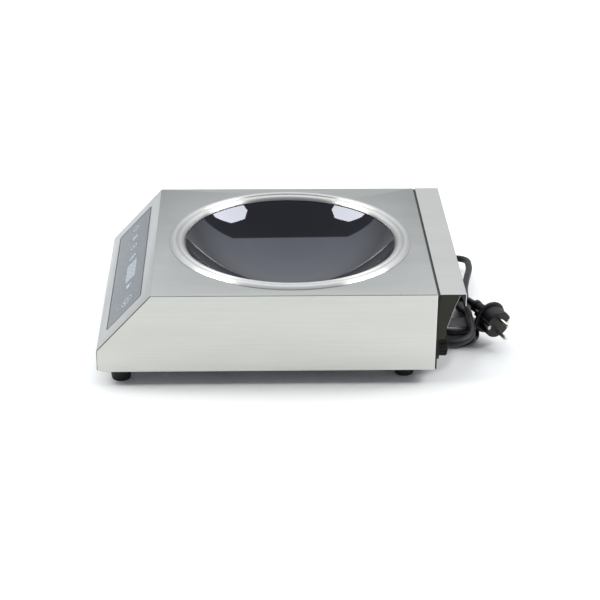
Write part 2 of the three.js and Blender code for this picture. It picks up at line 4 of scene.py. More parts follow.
import bmesh
import bpy
from mathutils import Matrix, Vector


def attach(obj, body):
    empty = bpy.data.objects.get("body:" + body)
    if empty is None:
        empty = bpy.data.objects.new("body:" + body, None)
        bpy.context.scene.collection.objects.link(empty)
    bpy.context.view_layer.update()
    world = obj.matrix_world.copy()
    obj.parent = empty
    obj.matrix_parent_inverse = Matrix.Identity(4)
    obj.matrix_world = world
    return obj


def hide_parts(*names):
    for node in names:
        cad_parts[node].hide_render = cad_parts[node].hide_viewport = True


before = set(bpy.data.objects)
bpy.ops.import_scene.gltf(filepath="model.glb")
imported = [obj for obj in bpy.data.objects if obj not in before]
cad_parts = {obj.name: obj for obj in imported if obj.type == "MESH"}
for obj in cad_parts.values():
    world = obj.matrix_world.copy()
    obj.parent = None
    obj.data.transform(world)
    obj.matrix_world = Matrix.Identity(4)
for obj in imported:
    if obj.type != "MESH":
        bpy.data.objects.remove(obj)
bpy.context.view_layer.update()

DEPTH = 0.445
FRONT_Y = -DEPTH / 2
REAR_Y = DEPTH / 2
HALF_WIDTH = 0.17
HEIGHT = 0.120
LIP_TOP = 0.0473
SLOPE_RUN = 0.067
SLOPE = math.atan2(HEIGHT - LIP_TOP, SLOPE_RUN)
BOWL_Y = 0.0155
CORD_R = 0.0045


def linked(name, data):
    """A new object in the scene."""
    item = bpy.data.objects.new(name, data)
    bpy.context.collection.objects.link(item)
    return item


# Camera, at the photograph's viewing angle

CAMERA_AT = (2.03027, -0.04265, 1.00709)
CAMERA_ANGLES = (-0.03521, 0.44727, 0.00924)
SENSOR_WIDTH = 36
FOCAL_LENGTH = 103.9
CLIP_END = 50


def make_camera():
    yaw, pitch, roll = CAMERA_ANGLES
    forward = -Vector((math.cos(pitch) * math.cos(yaw), math.cos(pitch) * math.sin(yaw), math.sin(pitch)))
    level = Vector((-math.sin(yaw), math.cos(yaw), 0))
    upward = level.cross(forward)
    right = level * math.cos(roll) + upward * math.sin(roll)
    up = upward * math.cos(roll) - level * math.sin(roll)
    data = bpy.data.cameras.new("camera")
    data.sensor_width = SENSOR_WIDTH
    data.lens = FOCAL_LENGTH
    data.clip_end = CLIP_END
    camera = linked("camera", data)
    axes = Matrix((right, up, -forward)).transposed().to_4x4()
    camera.matrix_world = Matrix.Translation(CAMERA_AT) @ axes
    bpy.context.scene.camera = camera


make_camera()

# Node materials

# A noise texture's output stays mostly between these two values
NOISE_LOW, NOISE_HIGH = 0.3, 0.7


def color_ramp(tree, source, stops):
    node = tree.nodes.new("ShaderNodeValToRGB")
    elements = node.color_ramp.elements
    while len(elements) < len(stops):
        elements.new(0.5)
    for element, (at, color) in zip(elements, stops):
        element.position = at
        element.color = (*color, 1)
    tree.links.new(source, node.inputs["Fac"])
    return node.outputs["Color"]


def color_mix(tree, factor, first, second, blend="MIX"):
    """Two colours mixed; each input is a socket or a constant."""
    node = tree.nodes.new("ShaderNodeMix")
    node.data_type = "RGBA"
    node.blend_type = blend
    sockets = (node.inputs["Factor"], node.inputs[6], node.inputs[7])
    for socket, value in zip(sockets, (factor, first, second)):
        if isinstance(value, bpy.types.NodeSocket):
            tree.links.new(value, socket)
        else:
            socket.default_value = value
    return node.outputs[2]


class Nodes:
    """A node material under construction."""

    def __init__(self, name):
        self.material = bpy.data.materials.new(name)
        self.material.use_nodes = True
        self.tree = self.material.node_tree
        self.shader = self.tree.nodes["Principled BSDF"]

    def add(self, kind, **inputs):
        node = self.tree.nodes.new(kind)
        for key, value in inputs.items():
            node.inputs[key.replace("_", " ")].default_value = value
        return node

    def link(self, source, target):
        self.tree.links.new(source, target)

    def base(self, color, rough, metallic=0.0, **more):
        self.shader.inputs["Base Color"].default_value = (*color, 1)
        self.shader.inputs["Roughness"].default_value = rough
        self.shader.inputs["Metallic"].default_value = metallic
        for key, value in more.items():
            self.shader.inputs[key.replace("_", " ")].default_value = value
        return self

    def place(self, scale, turn=(0, 0, 0)):
        where = self.add("ShaderNodeTexCoord")
        mapping = self.add("ShaderNodeMapping")
        mapping.inputs["Scale"].default_value = scale
        mapping.inputs["Rotation"].default_value = turn
        self.link(where.outputs["Object"], mapping.inputs["Vector"])
        return mapping.outputs["Vector"]

    def noise(self, where, scale, detail=4.0, rough=0.6):
        node = self.add("ShaderNodeTexNoise", Scale=scale, Detail=detail, Roughness=rough)
        self.link(where, node.inputs["Vector"])
        return node.outputs["Fac"]

    def tones(self, source, low, high):
        """A colour that follows a noise between two."""
        return color_ramp(self.tree, source, [(NOISE_LOW, low), (NOISE_HIGH, high)])

    def vary_rough(self, source, low, high):
        """A roughness that follows a noise."""
        node = self.add("ShaderNodeMapRange", From_Min=NOISE_LOW, From_Max=NOISE_HIGH,
                        To_Min=low, To_Max=high)
        self.link(source, node.inputs["Value"])
        self.link(node.outputs["Result"], self.shader.inputs["Roughness"])

    def bump(self, source, strength, distance):
        node = self.add("ShaderNodeBump", Strength=strength, Distance=distance)
        self.link(source, node.inputs["Height"])
        self.link(node.outputs["Normal"], self.shader.inputs["Normal"])


# Below this scale an axis runs along the brushing, where clouds are longer
FINE_STREAK = 20
CLOUD_ALONG, CLOUD_ACROSS = 0.35, 1.6
STREAK_DEPTH = 0.00006
GRAIN_DEPTH = 0.0001


def shades(color, *factors):
    return [tuple(max(0.0, c * k) for c in color) for k in factors]


def brushed_steel(name, color, rough, streaks, turn=(0, 0, 0), bump=0.2, contrast=1.0):
    """Brushed sheet: streaks along the axis whose scale is small, and faint clouds over them."""
    m = Nodes(name).base(color, rough, 1.0)
    lines = m.noise(m.place(streaks, turn), 1.0, 3.0, 0.55)
    cloud = m.noise(m.place([CLOUD_ALONG if k < FINE_STREAK else CLOUD_ACROSS for k in streaks], turn), 12.0)
    streaked = m.tones(lines, *shades(color, 1 - 0.05 * contrast, 1 + 0.04 * contrast))
    clouded = m.tones(cloud, (0.93, 0.93, 0.915), (1.0, 1.0, 1.0))
    m.link(color_mix(m.tree, 1.0, streaked, clouded, "MULTIPLY"), m.shader.inputs["Base Color"])
    m.vary_rough(lines, rough - 0.04 * contrast, rough + 0.06 * contrast)
    m.bump(lines, bump, STREAK_DEPTH)
    return m.material


def plain(name, color, rough, metallic=0.0, grain=900.0, bump=0.15, shade=0.12, **more):
    """Moulded or cast material: slight colour variation, uneven gloss and fine grain."""
    m = Nodes(name).base(color, rough, metallic, **more)
    where = m.place((1, 1, 1))
    cloud = m.noise(where, 25.0)
    fine = m.noise(where, grain, 3.0)
    m.link(m.tones(cloud, *shades(color, 1 - shade, 1 + shade)), m.shader.inputs["Base Color"])
    m.vary_rough(cloud, rough * 0.88, rough * 1.12)
    m.bump(fine, bump, GRAIN_DEPTH)
    return m.material


def spun_steel(name, color, rough):
    """Steel polished on a lathe: its fine rings stretch every reflection across the ring."""
    m = Nodes(name).base(color, rough, 1.0, Anisotropic=0.93, Anisotropic_Rotation=0.25)
    tangent = m.add("ShaderNodeTangent")
    tangent.direction_type = "RADIAL"
    tangent.axis = "Z"
    m.link(tangent.outputs["Tangent"], m.shader.inputs["Tangent"])
    cloud = m.noise(m.place((1, 1, 1)), 14.0)
    m.link(m.tones(cloud, *shades(color, 0.94, 1.04)), m.shader.inputs["Base Color"])
    m.vary_rough(cloud, rough - 0.03, rough + 0.03)
    return m.material


# One stainless steel in lit and shaded copies: painted shade darkens the top, painted light brightens the
# slope, the side and the hood.
TOP_STEEL_SHADED = (0.355, 0.368, 0.368)
SLOPE_STEEL_LIT = (0.54, 0.555, 0.56)
SIDE_STEEL_LIT = (0.59, 0.59, 0.556)
HOOD_STEEL_LIT = (0.50, 0.505, 0.50)
mats = {
    "top": brushed_steel("steel_top_shaded", TOP_STEEL_SHADED, 0.42, (700, 9, 700)),
    "slope": brushed_steel("steel_slope_lit", SLOPE_STEEL_LIT, 0.36, (9, 700, 700), (-SLOPE, 0, 0)),
    "hood": brushed_steel("steel_hood_lit", HOOD_STEEL_LIT, 0.38, (700, 9, 700)),
    "side": brushed_steel("steel_side_lit", SIDE_STEEL_LIT, 0.36, (500, 5, 500), bump=0.14, contrast=0.9),
    # Painted shade and painted highlight on the fold bevels: a darker steel on the upper fold faces, a very
    # dark one on the slope-to-side fold, a bright one on the lower fold faces.
    "fold": brushed_steel("steel_fold_painted_shade", (0.30, 0.30, 0.29), 0.3, (9, 9, 9)),
    "edge": brushed_steel("steel_edge_painted_highlight", (0.82, 0.82, 0.81), 0.3, (9, 9, 9)),
    "slope_fold_shade": brushed_steel("steel_slope_fold_painted_shade", (0.09, 0.09, 0.088), 0.4, (9, 9, 9)),
    "inside": brushed_steel("steel_inside", (0.4, 0.4, 0.4), 0.45, (400, 9, 400)),
    "polished": spun_steel("polished_steel", (0.56, 0.565, 0.56), 0.33),
    "glass": plain("black_glass", (0.007, 0.007, 0.010), 0.03, grain=90, bump=0.004, shade=0.2,
                   Specular_IOR_Level=0.85, Specular_Tint=(0.76, 0.80, 0.96, 1.0)),
    # Painted shade: this dark sheet stands in for steel in shade, inside the hood, on the back plate and on the
    # air deflector.
    "olive": brushed_steel("dark_sheet", (0.040, 0.040, 0.032), 0.42, (500, 500, 9), bump=0.2),
    "panel": plain("panel_overlay", (0.018, 0.032, 0.052), 0.16, grain=1400, bump=0.04, shade=0.03,
                   Specular_IOR_Level=0.4),
    "mark": plain("panel_print", (0.36, 0.43, 0.50), 0.3, grain=900, bump=0.05, shade=0.04),
    "faint": plain("panel_print_faint", (0.14, 0.18, 0.23), 0.3, grain=900, bump=0.05, shade=0.04),
    "display": plain("display_window", (0.23, 0.27, 0.32), 0.16, grain=1400, bump=0.03, shade=0.05),
    "rubber": plain("foot_rubber", (0.012, 0.012, 0.013), 0.62, grain=1100, bump=0.25, shade=0.25,
                    Specular_IOR_Level=0.3),
    "cord": plain("cord_sheath", (0.0055, 0.0056, 0.0078), 0.46, grain=1500, bump=0.12, shade=0.15,
                  Specular_IOR_Level=0.3),
    "plug": plain("plug_rubber", (0.0055, 0.0056, 0.0074), 0.46, grain=1300, bump=0.2, shade=0.2,
                  Specular_IOR_Level=0.3),
    "plastic": plain("black_plastic", (0.008, 0.008, 0.0086), 0.52, grain=1200, bump=0.2, shade=0.2,
                     Specular_IOR_Level=0.3),
    "strap": plain("tie_strap", (0.035, 0.036, 0.040), 0.5, grain=700, bump=0.2, shade=0.12),
    "silicone": plain("silicone_seal", (0.012, 0.012, 0.013), 0.55, grain=900, bump=0.1, shade=0.1),
    "nickel": plain("nickel_pin", (0.66, 0.63, 0.55), 0.2, 1.0, grain=900, bump=0.04, shade=0.04),
    "clip": plain("earth_clip", (0.74, 0.72, 0.64), 0.3, 1.0, grain=900, bump=0.04, shade=0.05),
    "board": plain("circuit_board", (0.02, 0.11, 0.05), 0.4, grain=1200, bump=0.1, shade=0.2),
    "copper": plain("copper_winding", (0.43, 0.14, 0.05), 0.35, 1.0, grain=500, bump=0.5, shade=0.2),
    "ferrite": plain("ferrite", (0.03, 0.03, 0.032), 0.7, grain=500, bump=0.3, shade=0.2),
    "mica": plain("mica_sheet", (0.55, 0.48, 0.36), 0.6, grain=200, bump=0.3, shade=0.12),
    "aluminium": plain("plain_aluminium", (0.62, 0.63, 0.64), 0.38, 1.0, grain=500, bump=0.1, shade=0.06),
    "epoxy": plain("epoxy_case", (0.03, 0.06, 0.22), 0.35, grain=500, bump=0.1, shade=0.12),
    "wire": plain("steel_wire", (0.5, 0.5, 0.5), 0.3, 1.0, grain=700, bump=0.05, shade=0.05),
    "zinc": brushed_steel("zinc_sheet", (0.45, 0.46, 0.46), 0.48, (60, 60, 60), bump=0.1),
}


# Making pieces


def mesh_of(build, name):
    mesh = bpy.data.meshes.new(name)
    build.to_mesh(mesh)
    build.free()
    return mesh


def smooth_shaded(mesh, angle=30):
    for polygon in mesh.polygons:
        polygon.use_smooth = True
    mesh.set_sharp_from_angle(angle=math.radians(angle))


def finished(build, name, *materials, slot, body="housing", stands_for=(), smooth=30):
    """Turns the mesh under construction into a piece that rides on a body."""
    bmesh.ops.recalc_face_normals(build, faces=build.faces)
    mesh = mesh_of(build, name)
    smooth_shaded(mesh, smooth)
    piece = linked(name, mesh)
    for material in materials:
        mesh.materials.append(mats[material])
    if stands_for:
        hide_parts(*stands_for)
    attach(piece, body)
    return piece


def join_rows(build, rows):
    """Faces between each closed row of vertices and the next."""
    for a, b in zip(rows, rows[1:]):
        for i in range(len(a)):
            j = (i + 1) % len(a)
            build.faces.new((a[i], a[j], b[j], b[i]))


def catmull(points, per_span):
    """A smooth line through the points."""
    pts = [Vector(p) for p in points]
    pts = [pts[0] * 2 - pts[1], *pts, pts[-1] * 2 - pts[-2]]
    line = []
    for a, b, c, d in zip(pts, pts[1:], pts[2:], pts[3:]):
        for i in range(per_span):
            t = i / per_span
            line.append(0.5 * (2 * b + (c - a) * t + (2 * a - 5 * b + 4 * c - d) * t * t
                               + (3 * b - a - 3 * c + d) * t ** 3))
    line.append(pts[-2])
    return line


def arc(centre, radius, start, end, heights, steps):
    """Points round a turn in plan, rising from one height to the other."""
    points = []
    for i in range(steps + 1):
        t = i / steps
        angle = math.radians(start + (end - start) * t)
        z = heights[0] + (heights[1] - heights[0]) * t * t * (3 - 2 * t)
        points.append((centre[0] + radius * math.cos(angle), centre[1] + radius * math.sin(angle), z))
    return points


# Mains lead: out of the gland, into the hank, and up to the plug. Millimetres, from the CAD route.

LEAD_EXIT = (136, 207.1, 37)
LANE_Y = (197.25, 251.75)
TURN_R = (LANE_Y[1] - LANE_Y[0]) / 2
TURN_Y = (LANE_Y[1] + LANE_Y[0]) / 2
LAYERS = (5.6, 14.8, 24.2)
FIRST_TURN_X, SECOND_TURN_X, THIRD_TURN_X = -118.8, -88, -68
NEAR_TURN_X = (47, 34)
lead_out = [
    LEAD_EXIT, *arc((105, 209.4), 31, 0, 74, (37.1, 39.4), 12), (100, 241.4, 38.4), (84, 242.8, 35.4),
    (67, 243.9, 31.8), (50, 245.1, 28.8), (33, 246, 26.6), (16, 246.5, 25.1), (-1, 246.9, 24.3),
    (-18, 247.4, 24), (-36, 248.6, 23.9), (-54, 250.8, 23.6), (-73, 254.3, 22.9), (-92, 258.4, 22),
    (-111, 262.6, 20.7), (-128, 265.3, 19.4),
]
far_turn_1 = [
    *arc((-145.6, 236.3), 30, 84, 232, (18.2, 6.4), 26),
    *arc((FIRST_TURN_X, 270.45), 73.2, 232, 270, (6.4, LAYERS[0]), 10)[1:],
]
tail_out = [
    (THIRD_TURN_X, LANE_Y[0], LAYERS[2]), (-48, 199.6, 26), (-30, 207.5, 28.6), (-13, 219, 32),
    (2, 232, 35.8), (15, 243.8, 38.6), (29.3, 253.3, 38.5),
]


def leaning(y, start, end, height, lean, steps=16):
    """A pass along the hank whose middle leans sideways."""
    parts = [i / steps for i in range(1, steps)]
    return [(start + (end - start) * t, y + lean / 2 * (1 - math.cos(2 * math.pi * t)), height)
            for t in parts]


def near_turn(x, layer):
    return arc((x, TURN_Y), TURN_R, -90, 90, (layer, layer), 24)


def far_turn(x, low, high):
    return arc((x, TURN_Y), TURN_R, 90, 270, (low, high), 24)


ROUTE = [Vector(p) / 1000 for p in [
    *catmull(lead_out + far_turn_1[:1], 5), *far_turn_1[1:],
    *leaning(LANE_Y[0], FIRST_TURN_X, NEAR_TURN_X[0], LAYERS[0], 7), *near_turn(NEAR_TURN_X[0], LAYERS[0]),
    *leaning(LANE_Y[1], NEAR_TURN_X[0], SECOND_TURN_X, LAYERS[0], -9),
    *far_turn(SECOND_TURN_X, LAYERS[0], LAYERS[1]),
    *leaning(LANE_Y[0], SECOND_TURN_X, NEAR_TURN_X[1], LAYERS[1], 12), *near_turn(NEAR_TURN_X[1], LAYERS[1]),
    *leaning(LANE_Y[1], NEAR_TURN_X[1], THIRD_TURN_X, LAYERS[1], -14),
    *far_turn(THIRD_TURN_X, LAYERS[1], LAYERS[2]),
    *catmull(tail_out, 5)[1:],
]]


def make_cord():
    curve = bpy.data.curves.new("mains_cord", "CURVE")
    curve.dimensions = "3D"
    curve.bevel_depth = CORD_R
    curve.bevel_resolution = 5
    curve.use_fill_caps = True
    spline = curve.splines.new("POLY")
    spline.points.add(len(ROUTE) - 1)
    for point, co in zip(spline.points, ROUTE):
        point.co = (*co, 1)
    spline.use_smooth = True
    piece = linked("mains_cord", curve)
    curve.materials.append(mats["cord"])
    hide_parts("cord_lead", "cord_hank", "cord_tail")
    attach(piece, "housing")
    return piece


cord = make_cord()

# Plug: its own axis from the neck to the pins

NECK = Vector((0.0293, 0.2533, 0.0385))
PLUG_TURN = math.radians(29)
PLUG_DIP = math.radians(8)
PIN_OFFSET = 0.0095
PLUG_FRAME = (Matrix.Translation(NECK) @ Matrix.Rotation(PLUG_TURN, 4, "Z")
              @ Matrix.Rotation(math.pi / 2 + PLUG_DIP, 4, "Y"))


def lathe(build, profile, sides, place, closed=False):
    """Turns [radius, height] points round Z; a point on the axis becomes one vertex."""
    rings = []
    for radius, height in profile:
        angles = [2 * math.pi * i / sides for i in range(sides if radius else 1)]
        rings.append([build.verts.new(place @ Vector((radius * math.cos(a), radius * math.sin(a), height)))
                      for a in angles])
    pairs = list(zip(rings, rings[1:]))
    if closed:
        pairs.append((rings[-1], rings[0]))
    for low, high in pairs:
        for i in range(sides):
            j = (i + 1) % sides
            corners = [low[i % len(low)], low[j % len(low)], high[j % len(high)], high[i % len(high)]]
            unique = list(dict.fromkeys(corners))
            if len(unique) > 2:
                build.faces.new(unique)


def block(build, x, y, z, place=Matrix.Identity(4), round_by=0.0):
    """A box, given by its two ends on each axis, with softened edges."""
    before = set(build.faces)
    made = bmesh.ops.create_cube(build, size=1)["verts"]
    centre = Vector([(a + b) / 2 for a, b in (x, y, z)])
    size = Vector([b - a for a, b in (x, y, z)])
    for v in made:
        v.co = Vector(c * s for c, s in zip(v.co, size)) + centre
    if round_by:
        edges = list({e for v in made for e in v.link_edges})
        bmesh.ops.bevel(build, geom=edges, offset=round_by, segments=2, profile=0.5, affect="EDGES")
    for v in {v for face in set(build.faces) - before for v in face.verts}:
        v.co = place @ v.co


def mm(profile):
    return [(r / 1000, z / 1000) for r, z in profile]


def notched(build, levels, radius, notch, steps=28):
    """The plug's round front block, with a groove on each side, through [inset, height] levels."""
    half, floor = notch
    rings = []
    for inset, height in levels:
        r = radius - inset
        reach = math.acos(half / r)
        points = []
        for side in (1, -1):
            turns = [-reach + 2 * reach * i / steps for i in range(steps + 1)]
            points += [(side * r * math.cos(a), side * r * math.sin(a)) for a in turns]
            points += [(side * half, side * (floor - inset)), (-side * half, side * (floor - inset))]
        rings.append([build.verts.new(PLUG_FRAME @ Vector((x, y, height))) for x, y in points])
    join_rows(build, rings)
    build.faces.new(rings[0][::-1])
    build.faces.new(rings[-1])


def beside(side, near, far):
    """The span between two distances from the plug's axis, on one side of it."""
    return sorted((side * near, side * far))


def make_plug():
    build = bmesh.new()
    neck = [(0, 0.1), (5.2, 0.1), (7.4, 0.5), (8, 1.4), (8, 5.4), (7.6, 6.1), (6.4, 6.5), (6.4, 7.6)]
    for i in range(3):
        z = 8 + i * 2.7
        rib = 7.4 + i * 0.3
        neck += [(rib, z), (rib, z + 1.5), (rib - 0.9, z + 1.8), (rib - 0.9, z + 2.5)]
    body = neck + [(8.2, 16.4), (8.8, 18.6), (10.2, 21.2), (11.6, 24), (12.6, 26.4), (13, 28.6), (14.2, 29.6),
                   (20.8, 29.9), (21.7, 30.4), (22, 31.2), (22, 32.8), (21.6, 33.5), (20.6, 34), (18.9, 34.2),
                   (15, 34.3), (0, 34.3)]
    lathe(build, mm(body), 72, PLUG_FRAME)
    levels = [(0.0, 34.2), (0.0, 36), (0.05, 50.4), (0.3, 51.3), (0.9, 51.8), (1.8, 52)]
    notched(build, mm(levels), 0.0184, (0.0045, 0.0154))
    # Grip wings on the neck, raised guides beside each groove and steps on the flange
    for side in (-1, 1):
        block(build, (-0.0042, 0.0042), beside(side, 0.0075, 0.0112), (0.0145, 0.0292), PLUG_FRAME, 0.0008)
        for x in (-0.0068, 0.0068):
            block(build, (x - 0.0011, x + 0.0011), beside(side, 0.0156, 0.0176), (0.0335, 0.0508), PLUG_FRAME,
                  0.0004)
            block(build, (x - 0.0014, x + 0.0014), beside(side, 0.0152, 0.0198), (0.0335, 0.0352), PLUG_FRAME,
                  0.0004)
    return finished(build, "plug_moulding", "plug", slot="plug_rubber", stands_for=["plug_body"], smooth=35)


def make_clips():
    """The two earth clips, one in each side groove, bent over onto the face."""
    build = bmesh.new()
    for side in (-1, 1):
        block(build, (-0.0024, 0.0024), beside(side, 0.0158, 0.0163), (0.0425, 0.0526), PLUG_FRAME, 0.0001)
        block(build, (-0.0026, 0.0026), beside(side, 0.0126, 0.0163), (0.0521, 0.0527), PLUG_FRAME, 0.0001)
    return finished(build, "plug_earth_clips", "clip", slot="nickel")


def make_pins():
    made = []
    profile = mm([(0, 50.5), (2.4, 50.5), (2.4, 68.6), (2.3, 69.6), (1.9, 70.5), (1.2, 70.95), (0, 71)])
    for name, x in (("upper", -PIN_OFFSET), ("lower", PIN_OFFSET)):
        build = bmesh.new()
        lathe(build, profile, 24, PLUG_FRAME @ Matrix.Translation((x, 0, 0)))
        made.append(finished(build, "plug_prong_" + name, "nickel", slot="nickel",
                             stands_for=["plug_pin_" + name], smooth=40))
    return made


plug_pieces = [make_plug(), make_clips(), *make_pins()]

STRAP_X = (0.0302, 0.0553)
STRAP_CENTRE = Vector((0, 0.2245, 0.0108))
STRAP_THICK = 0.0009


def make_strap():
    """A band round both sides of the hank."""
    build = bmesh.new()
    loop = [(191.8, 5), (193.1, 2), (196.3, 0.5), (202, 0.3), (224, 0.3), (247, 0.3), (252.8, 0.5),
            (255.8, 2.2), (257.2, 5.6), (257.3, 11), (256.6, 16), (253.6, 20.2), (248.4, 21.2), (237, 20.9),
            (224, 20.6), (211, 20.9), (201.6, 21.2), (196, 20.2), (192.4, 16.4), (191.7, 11)]
    line = [Vector((0, y, z)) for y, z in mm(loop)]
    outer = catmull([*line, line[0]], 3)[:-1]
    inner = [p + (STRAP_CENTRE - p).normalized() * STRAP_THICK for p in outer]
    left, right = STRAP_X
    rows = [[build.verts.new((x, p.y, p.z)) for p in edge]
            for edge, x in ((outer, left), (outer, right), (inner, right), (inner, left))]
    join_rows(build, rows + rows[:1])
    return finished(build, "hank_tie", "strap", slot="strap", stands_for=["cord_tie"], smooth=45)


strap = make_strap()

# Housing

FOLD_ANGLE = math.radians(25)
FLAT_ANGLE = math.radians(1.5)
SAME_PLACE = 1e-5
SIDE_EDGE_LOW = 0.0216
LONG_EDGE = 0.3
LIP_THICK = 0.0011


def softened(node, name, materials, slot, width=0.0, pick=None, assign=None, split_y=None):
    """A copy of a CAD sheet with the picked folds rounded; assign names each face's material."""
    build = bmesh.new()
    build.from_mesh(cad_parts[node].data)
    bmesh.ops.remove_doubles(build, verts=build.verts, dist=1e-6)
    bmesh.ops.dissolve_limit(build, angle_limit=FLAT_ANGLE, verts=build.verts, edges=build.edges)
    if pick:
        edges = [e for e in build.edges if e.is_manifold and e.calc_face_angle(0) > FOLD_ANGLE and pick(e)]
        bmesh.ops.bevel(build, geom=edges, offset=width, segments=3, profile=0.5, affect="EDGES",
                        clamp_overlap=True)
    if split_y:
        bmesh.ops.bisect_plane(build, geom=[*build.verts, *build.edges, *build.faces],
                               plane_co=(0, split_y, 0), plane_no=(0, 1, 0))
    for face in build.faces:
        face.material_index = materials.index(assign(face)) if assign else 0
    return finished(build, name, *materials, slot=slot, stands_for=[node])


def along_x(edge):
    return abs(edge.verts[0].co.x - edge.verts[1].co.x) > LONG_EDGE


def housing_fold(edge):
    """Whether an edge is a fold on the outer skin of the housing."""
    on_side = all(abs(abs(v.co.x) - HALF_WIDTH) < SAME_PLACE for v in edge.verts)
    on_front = all(v.co.y < FRONT_Y + SAME_PLACE for v in edge.verts)
    on_top = all(v.co.z > HEIGHT - SAME_PLACE for v in edge.verts)
    if on_side and not all(v.co.z < SIDE_EDGE_LOW for v in edge.verts):
        return True
    return along_x(edge) and (on_side or on_top or on_front)


def housing_face(face):
    """The material of a face of the housing, by where it is and which way it looks; the fold bevels get painted
    shade and a painted highlight.
    """
    n = face.normal
    c = face.calc_center_median()
    # Fold bevels at the sides: painted shade on the faces that look forward and upward, a painted highlight on
    # the lower faces.
    if 0.15 < abs(n.x) < 0.97 and abs(c.x) > HALF_WIDTH - 0.002:
        return "slope_fold_shade" if n.y < -0.05 else "fold" if n.z > 0.4 else "edge"
    if abs(n.x) > 0.7:
        return "side" if abs(abs(c.x) - HALF_WIDTH) < 0.0002 else "inside"
    if n.z > 0.9:
        return "top"
    if n.y < -0.3 and c.z < HEIGHT:
        return "slope"
    return "top" if n.z > 0.3 or n.y > 0.9 else "inside"


def hood_fold(edge):
    return all(v.co.z > HEIGHT - SAME_PLACE for v in edge.verts) and along_x(edge)


def hood_face(face):
    """Steel on the hood's outside and its turned lip; the inside gets the dark sheet as painted shade."""
    c = face.calc_center_median()
    outside = c.z > HEIGHT - 0.0003 or c.y > REAR_Y - 0.0003
    on_lip = c.y > REAR_Y - LIP_THICK and abs(face.normal.y) < 0.5
    under_lip = face.normal.z < -0.9 and c.z < 0.11
    return "hood" if outside or on_lip or under_lip else "olive"


softened("housing_shell", "housing_skin", ["top", "slope", "side", "inside", "fold", "slope_fold_shade", "edge"],
         "brushed_steel", 0.0009, housing_fold, housing_face)
softened("rear_hood", "hood_skin", ["hood", "olive"], "brushed_steel", 0.0007, hood_fold, hood_face,
         REAR_Y - LIP_THICK)


def make_seam_shade_strip():
    """A black strip in the seam between the housing and the rear hood, painted shade for the dark inside of the
    gap.
    """
    build = bmesh.new()
    block(build, (-0.1694, 0.1694), (0.1884, 0.1906), (0.1158, 0.1188), round_by=0.0003)
    return finished(build, "seam_shade_strip", "silicone", slot="silicone")


make_seam_shade_strip()
# The deflector's dark sheet is painted shade: it stands for the steel in shade under the hood.
softened("air_deflector", "deflector_skin", ["olive"], "dark_sheet")

# Bowl: profiles and sizes in millimetres

BOWL_FRAME = Matrix.Translation((0, BOWL_Y, 0))
GLASS_CENTRE_Z = 223.1
GLASS_RADIUS = 170.6
GLASS_THICK = 4.0
GLASS_TOP = 116.8


def make_ring():
    build = bmesh.new()
    profile = [(154.5, 120.3), (154.2, 120.6), (153, 121.45), (151.8, 122.28), (150.8, 122.9),
               (149.9, 123.3), (149, 123.48), (147.4, 123.5), (146, 123.45), (145.2, 123.15),
               (144.5, 122.6), (144, 121.95), (143.5, 121.6), (143, 121.75), (142.4, 122.15),
               (141.5, 122.55), (140.5, 122.7), (139.5, 122.55), (138.3, 122.15), (137, 121.35),
               (135.8, 120.3), (134.9, 119.1), (134.4, 118.1), (134.3, 117.4), (145.4, 116.6),
               (145.4, 120.3)]
    lathe(build, mm(profile), 192, BOWL_FRAME, closed=True)
    return finished(build, "bowl_trim_ring", "polished", slot="polished_steel", stands_for=["bowl_ring"],
                    smooth=50)


def cap(radius, count):
    """The profile of a part of a sphere, from its lowest point up to the top of the glass."""
    edge = math.acos((GLASS_CENTRE_Z - GLASS_TOP) / radius)
    return [(radius * math.sin(edge * i / count), GLASS_CENTRE_Z - radius * math.cos(edge * i / count))
            for i in range(count + 1)]


def make_glass():
    build = bmesh.new()
    lathe(build, mm(cap(GLASS_RADIUS, 28) + cap(GLASS_RADIUS + GLASS_THICK, 20)[::-1]), 160, BOWL_FRAME)
    return finished(build, "glass_dish", "glass", slot="black_glass", stands_for=["glass_bowl"], smooth=40)


make_ring()
make_glass()

# Control panel prints. Local axes on the slope: x across, s up the slope, n out of it.

SLOPE_FRAME = Matrix.Translation((0, FRONT_Y, LIP_TOP)) @ Matrix.Rotation(SLOPE, 4, "X")
PRINT = (0.00002, 0.00008)
KEY_S = 0.051
DISPLAY_S = 0.0518
PANEL_LOW, PANEL_HIGH = (-0.143, 0.0163), (0.1375, 0.0793)
PANEL_CORNER_R = 0.003
DASH = (0.009, 0.0012)
DASH_DROP, POWER_DASH_DROP = 0.0135, 0.0165
DISPLAY_DASH = (0.0212, 0.0375, 0.014, 0.0012)
STANDBY_DOT = (0.107, 0.0692, 0.0009, 0.0016)
DIGIT_X, DIGIT_STEP = 0.0032, 0.0120


def bar(build, x, s, across, up):
    """A printed stroke with its middle at (x, s)."""
    place = SLOPE_FRAME @ Matrix.Translation((x, s, 0))
    block(build, (-across / 2, across / 2), (-up / 2, up / 2), PRINT, place)


def hoop(build, x, s, radius, wide, start=0.0, end=360.0):
    """A printed circle or part of one."""
    place = SLOPE_FRAME @ Matrix.Translation((x, s, 0))
    steps = max(8, int(abs(end - start) / 9))
    whole = end - start >= 360
    rows = []
    for i in range(steps + (0 if whole else 1)):
        angle = math.radians(start + (end - start) * i / steps)
        row = []
        for r, n in ((radius - wide / 2, PRINT[0]), (radius + wide / 2, PRINT[0]),
                     (radius + wide / 2, PRINT[1]), (radius - wide / 2, PRINT[1])):
            row.append(build.verts.new(place @ Vector((r * math.cos(angle), r * math.sin(angle), n))))
        rows.append(row)
    join_rows(build, rows + rows[:1] if whole else rows)
    if not whole:
        build.faces.new(rows[0])
        build.faces.new(rows[-1][::-1])


